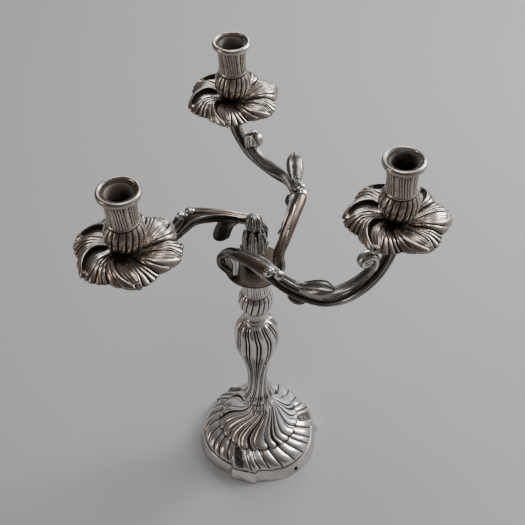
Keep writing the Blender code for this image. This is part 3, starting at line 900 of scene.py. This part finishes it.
BEARINGS = {"back": 90.0, "left": 210.0, "right": 330.0}
STRAND_COLUMNS = 72
# Degrees round a strand's section where its flutes meet.
REEDED = [0, 52, 72, 124, 144, 196, 216, 268, 288, 340, 360]
REED_CHANNELS = [0, 2, 4, 6, 8]
CHANNELLED = [20, 160, 176, 200, 250, 290, 340, 364, 380]
LOBED = [0, 60, 120, 180, 240, 300, 360]
RIDGED = [0, 30, 150, 180, 195, 345, 360]
SPOONED = [15, 165, 200, 340, 375]
KEELED = [0, 80, 175, 270, 360]
PLAIN = [0, 120, 240, 360]


def strand(name, side, stations, borders, hollow, face, material, depth, flat=1.0, cup=0.0):
    """Fluted strand swept along a smooth line through (reach, left, height, half width, [flatness]).

    borders are where the flutes meet round the section, with 90 degrees on the face side;
    hollow numbers the flutes that are cut in, and cup curls both edges towards the face.
    """
    line = smooth_line(stations, 0.7)
    path, size = line[:, :3], line[:, 3]
    ahead = np.gradient(path, axis=0)
    ahead /= np.linalg.norm(ahead, axis=1)[:, None]
    up = np.array(face, float)[None, :] - (ahead @ np.array(face, float))[:, None] * ahead
    up /= np.linalg.norm(up, axis=1)[:, None]
    across_way = np.cross(ahead, up)
    along = np.concatenate([[0], np.cumsum(np.linalg.norm(np.diff(path, axis=0), axis=1))])
    for gone in (along, along[-1] - along):
        size = size * np.sqrt(np.clip(1 - (1 - np.clip(gone / (0.8 * line[:, 3]), 0, 1)) ** 2, 0.01, 1))
    angle = np.linspace(0, 360, STRAND_COLUMNS, endpoint=False)
    across, width, number = numbered_flute(angle, borders)
    cut = np.isin(number, hollow)
    reach = 1 + depth * np.where(cut, -1.0, 0.45) * rounded(across)
    # Cut flutes are painted darker towards their middle, partly tarnish and partly painted shade in the
    # channel.
    marks = np.where(cut, 0.75 * rounded(across, 1.0) - 0.15,
                     chased(across, np.clip(5.0 / width, 0.05, 0.3), 0.8))
    wide = reach * np.cos(np.radians(angle))
    flats = line[:, 4:5] if line.shape[1] > 4 else np.full((len(line), 1), flat)
    thick = flats * reach * np.sin(np.radians(angle)) + cup * (np.cos(np.radians(angle)) ** 2 - 0.5)
    points = (path[:, None, :] + size[:, None, None] * (wide[None, :, None] * across_way[:, None, :]
                                                        + thick[:, :, None] * up[:, None, :]))
    bearing = radians(BEARINGS[side])
    along_x, along_y, level = np.moveaxis(points, 2, 0)
    points = np.stack([along_x * cos(bearing) - along_y * sin(bearing),
                       along_x * sin(bearing) + along_y * cos(bearing), level], 2)
    marks = marks[None, :] + 0 * size[:, None]
    piece = shell(f"arm_{side}_{name}", points, marks, material, loop=False)
    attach(piece, "branch")
    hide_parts(f"arm_{side}")


STEM_LINE = [
    (-12, -20, 293.2, 3.8, 1.3), (-20, -20, 297.0, 3.3, 1.6), (-27.2, -20, 304, 3.2, 1.7),
    (-26.8, -20, 315, 3.3, 1.7), (-18.5, -21, 323, 3.6, 1.5), (-7, -27.5, 331, 4.9, 1.0),
    (6, -35, 336.6, 7.0, 0.75), (22, -43, 340.4, 8.4, 0.68), (38, -50, 339.6, 8.0, 0.75),
    (55, -52.8, 330.8, 5.4, 1.1), (72, -52.4, 326.6, 5.8, 1.1), (88, -49, 324, 5.9, 1.1),
    (102, -39, 323.2, 5.8, 1.1), (114.4, -27, 327.6, 5.8, 1.1), (124, -15, 336.2, 5.7, 1.1),
    (130, -7.2, 347.4, 5.7, 1.0), (133.6, -2, 360, 5.8, 1.0), (135.4, 0, 372, 6.4, 1.0),
    (135.4, 0, 384, 7.4, 1.0), (135.4, 0, 393.6, 8.2, 1.0)
]
INNER_LINE = [
    (60, -49.5, 334, 3.4), (75, -47.8, 331.8, 4.8), (88, -44.8, 330.2, 5.2),
    (99.6, -35, 329.6, 5.3), (109.8, -25.2, 333.4, 5.3), (118, -17, 340.6, 5.2),
    (122, -13.6, 349, 5.0), (123, -13, 355, 4.4)
]
CURL_LINE = [
    (121.6, -14.4, 345, 3.0), (123.2, -13.2, 353, 3.3), (122.2, -14, 360.4, 3.4),
    (118, -17.4, 364, 3.4), (113, -21.4, 362, 3.4), (112.2, -22, 356.8, 3.4),
    (116.2, -18.8, 354.8, 3.2), (117.6, -17.6, 358, 2.6)
]
BAND_LINE = [
    (-26.6, -20, 303, 3.0), (-26.0, -20, 314, 4.2), (-18.6, -22, 323.6, 5.0),
    (-8, -28.4, 331.6, 5.8), (6, -36.8, 338.6, 6.0), (18, -44, 342.8, 5.8), (28, -49.8, 345.8, 5.6),
    (37, -54.4, 347.8, 5.2)
]
LEG_LINE = [
    (-20, -20.6, 320, 3.4), (-14.4, -20.4, 317, 4.0), (-11.8, -20, 310, 4.0),
    (-11.8, -20, 302, 4.2), (-12.6, -20, 293.2, 4.8)
]
UPPER_LINE = [
    (46, -54.6, 348.0, 4.6), (48.5, -54, 344.2, 4.8), (54, -53, 340.4, 5.0), (64, -53, 337.4, 5.0),
    (76, -53.8, 338.6, 5.2)
]
UPPER_TIP = [
    (44.2, -55.0, 351.6, 3.6), (45.4, -54.8, 349.4, 5.0), (47.4, -54.2, 345.6, 5.0),
    (49.4, -53.8, 343, 4.2)
]
BAND_TIP = [
    (31, -51.8, 346.6, 4.6), (35, -53.6, 347.8, 5.6), (38.4, -55.2, 348.6, 5.0),
    (41.0, -56.2, 348.8, 3.2)
]
CURL_EYE = [(114.0, -13.2, 358.8, 3.4), (117.4, -17.6, 358.8, 3.9), (121.0, -22.0, 358.8, 3.4)]
BUD_LINE = [
    (64, -52.6, 337.2, 3.8), (73, -53.6, 339.8, 6.8), (82, -54.8, 343.2, 8.4), (91, -56, 347, 7.4),
    (99.6, -57, 350, 1.8)
]
NUB_LINE = [
    (52.6, -47.4, 319.6, 2.0), (55.6, -47.0, 316.4, 4.6), (61.0, -46.6, 314.6, 5.8),
    (66.4, -46.4, 315.6, 5.0), (70.4, -46.2, 318.8, 2.2)
]
NECK_LINE = [(60, -49.8, 327, 4.4), (60.8, -48.2, 321.6, 3.4), (61.2, -47.2, 316.6, 4.0)]
SPOON_LINE = [
    (-15, -24, 327, 3.6), (-6, -29, 332.6, 4.8), (4, -31.6, 333.2, 6.0), (12.4, -31.4, 329.6, 7.4),
    (18.0, -30.4, 322.4, 7.6), (20.4, -30, 315.6, 4.6)
]

for side in SIDES:
    strand("stem", side, STEM_LINE, REEDED, REED_CHANNELS, (0, -0.9, 0.45), stem_dark, depth=0.20)
    strand("inner_strand", side, INNER_LINE, CHANNELLED, [0], (-0.35, 0.0, 0.93), stem_dark, depth=0.34,
           flat=0.8, cup=0.2)
    strand("curl", side, CURL_LINE, LOBED, [], (0.63, -0.78, 0), curl_bright, depth=0.12, flat=1.7)
    strand("curl_eye", side, CURL_EYE, PLAIN, [], (0, 0, 1), curl_bright, depth=0.04)
    strand("band", side, BAND_LINE, RIDGED, [], (0.1, -0.55, 0.8), band_brown, depth=0.07, flat=0.65)
    strand("band_tip", side, BAND_TIP, PLAIN, [], (0.1, -0.55, 0.8), curl_bright, depth=0.04, flat=0.7)
    strand("upper_tip", side, UPPER_TIP, PLAIN, [], (0.1, -0.9, 0.3), curl_bright, depth=0.04, flat=0.8)
    strand("volute_leg", side, LEG_LINE, LOBED, [], (-0.2, -0.9, 0.3), curl_bright, depth=0.12,
           flat=0.8)
    strand("upper_strand", side, UPPER_LINE, REEDED, REED_CHANNELS, (0.1, -0.3, 0.95), stem_dark,
           depth=0.14)
    strand("almond_bud", side, BUD_LINE, KEELED, [1], (0.1, -0.5, 0.85), stem_dark, depth=0.34,
           flat=0.8)
    strand("nub", side, NUB_LINE, PLAIN, [], (0.0, -0.4, 0.9), band_brown, depth=0.05, flat=0.75)
    strand("nub_neck", side, NECK_LINE, LOBED, [], (0.9, -0.4, 0.1), stem_dark, depth=0.10)
    strand("spoon_leaf", side, SPOON_LINE, SPOONED, [0], (0.2, 0.75, 0.6), stem_dark, depth=0.28,
           flat=0.45, cup=0.35)


# ---------- cup studs
# A short iron stud stands up from the end of each arm through the pan into the cup, which
# turns on it.

for side in SIDES:
    refinish("cup_stud_" + side, iron)


# ---------- drip pans
# Cast pans, drooping at the rim, each of six swirled petals: two rolled ridges, a hollowed
# spoon that runs to a point, and a fan of three reeds with scalloped ends.

PAN_COLUMNS = 720
PAN_RADIUS = 48.0
PAN_TURNS = {"back": 57.0, "left": 20.0, "right": 35.0}
# One petal is drawn over 60 places round the pan: a low and a high rolled ridge, the hollow
# spoon, its thin lip and a fan of three reeds.
PETAL_STEP = 60.0
HIGH_RIDGE, SPOON, LIP = 1, 2, 3  # which parts of the petal they are
PETAL = [0, 6.5, 13, 36, 39.5, 46.3, 53.1, PETAL_STEP]
# Where the ridge, high ridge, spoon, lip and fan begin, and where the fan ends, in degrees
# round the pan, at each radius in mm.
PETAL_PLACES = [0, 6.5, 13, 36, 39.5, PETAL_STEP]
PETAL_LINES = [
    (3, -36, -34, -32, -7, -5, 24), (12, -34, -32, -30, -4, -2, 26),
    (20, -30, -26.5, -23, 6, 8, 30), (29, -26, -19.5, -13, 13, 15.5, 34),
    (38, -19, -9.5, 0, 19, 21.5, 41), (45, -9, 3, 14, 20.5, 22.5, 51), (49, -5, 8, 18, 22, 24, 55)
]
pan_silver = silver_finish(
    "pan_silver", (0.62, 0.575, 0.52), (0.225, 0.17, 0.125),
    (0.022, 0.016, 0.012), 0.46, 0.58, 0.19)


def petal_angle(radius, place):
    """Where a place on the petal lies round the pan, in degrees."""
    rows = np.array(PETAL_LINES, float)
    share = place % PETAL_STEP
    angle = place - share + 0 * radius
    starts = [np.interp(radius, *smooth_line(rows[:, [0, column]], 0.5).T) for column in range(1, 7)]
    for first, last, low, high in zip(PETAL_PLACES[:-1], PETAL_PLACES[1:], starts[:-1], starts[1:]):
        inside = (share >= first) & (share < last)
        angle = angle + np.where(inside, low + (high - low) * (share - first) / (last - first), 0)
    return angle


def pan_relief(radius, place):
    """Height of the petals' relief and depth of the chased lines, with painted shade in the spoons and
    the central hollow.
    """
    across, _, number = numbered_flute(place, PETAL)
    opened = blend(24.0, 38.0, radius)
    crown = rounded(across)
    overlap = np.interp(place % PETAL_STEP, [0, 6, 13, 36, 60], [-0.7, 1.0, 1.4, 0.2, -1.3])
    veins = np.cos(across * 4 * pi) * blend(18.0, 28.0, radius) * (1 - across**2)
    spoon = (-3.2 + 3.0 * blend(-0.85, 1.0, across) + 3.0 * blend(-0.84, -1.0, across)
             + 0.12 * veins)
    ridge, lip = 2.2 * rounded(across * 0.92), 0.6 + 0.9 * crown
    reed = (0.4 + 1.7 * opened) * crown
    height = np.choose(number, [2.0 * crown, ridge, spoon, lip, reed, reed, reed])
    # The spoon is painted dark on its deep side by the high ridge, fading lighter towards its lip:
    # painted shade in the hollow.
    spoon_lines = (0.30 + 0.66 * blend(-0.25, -0.85, across) - 0.55 * blend(0.4, 0.95, across)
                   - 0.10 * veins)
    reed_lines = [chased(across, 0.42, 0.6) * (0.35 + 0.6 * opened) + 0.10] * 3
    lines = np.choose(number, [chased(across, 0.45, 0.9), chased(across, 0.34, 1.0), spoon_lines,
                               chased(across, 0.4, 0.9)] + reed_lines)
    grow = 0.9 * blend(9.0, 26.0, radius)
    lip_roll = 2.2 * np.exp(-((radius - 45.2) / 1.7) ** 2) * (number == SPOON)
    rubbed = (number >= HIGH_RIDGE) & (number <= LIP)
    worn = -0.7 * blend(43.0, 45.5, radius) * rubbed
    # Painted shade in the pan's central hollow round the cup's foot.
    painted_centre_shade = blend(18.0, 12.5, radius) * 0.95
    lines = np.maximum(lines * blend(9.0, 16.0, radius) + worn, painted_centre_shade)
    return (height + overlap) * grow + lip_roll, lines


def pan_rim(place):
    """Radius of the scalloped rim."""
    across, _, number = numbered_flute(place, PETAL)
    edge = np.interp(place % PETAL_STEP, [0, 6.5, 13, 30, 36, 39.5, 46.3, 53.1, PETAL_STEP],
                     [40.8, 43.6, 46.4, 47.6, 47.7, 46.0, 44.4, 42.8, 40.8])
    return edge + np.where((number < SPOON) | (number > LIP), 1.0 * rounded(across), 0)


def drip_pan(side):
    node = "drip_pan_" + side
    low = heights(node)[0]
    centre = middle_of(node)
    top = smooth_line([
        (ROD_BORE, 401.55), (11.4, 401.3), (14.5, 400.9), (18.5, 402.6), (25.0, 405.0),
        (31.0, 405.6), (36.5, 404.8), (42.0, 402.6), (46.0, 400.0), (PAN_RADIUS, 398.2)
    ], 0.42)
    under = smooth_line([
        (47.7, 397.4), (46.0, 398.0), (41.0, 400.6), (36.0, 402.4), (30.0, 403.0), (25.0, 402.4),
        (15.0, 397.8), (9.0, low + 0.7), (ROD_BORE, low + 0.7)
    ], 1.0)
    profile = np.vstack([top, under])
    facing = outward(profile)
    facing = np.where(facing[:, 1:2] < 0, -facing, facing)
    radius, height = profile[:, 0:1], profile[:, 1:2]
    place = np.linspace(0, 360, PAN_COLUMNS, endpoint=False)[None, :]
    scale = 1 + (pan_rim(place) / PAN_RADIUS - 1) * blend(26.0, PAN_RADIUS, radius)
    angles = np.radians(petal_angle(radius * scale, place) + PAN_TURNS[side])
    relief, lines = pan_relief(radius, place)
    below = np.arange(len(profile))[:, None] >= len(top)
    relief = np.where(below, relief * 0.85, relief)
    lines = np.where(below, 0.35 + 0.3 * lines, lines)
    bent = (radius + relief * facing[:, 0:1] * 0.6) * scale
    level = height + relief * facing[:, 1:2]
    points = np.stack([centre[0] + bent * np.cos(angles), centre[1] + bent * np.sin(angles), level], 2)
    pan = shell(node + "_chased", points, lines, pan_silver)
    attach(pan, "cup_" + side)
    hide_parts(node)


for side in SIDES:
    drip_pan(side)
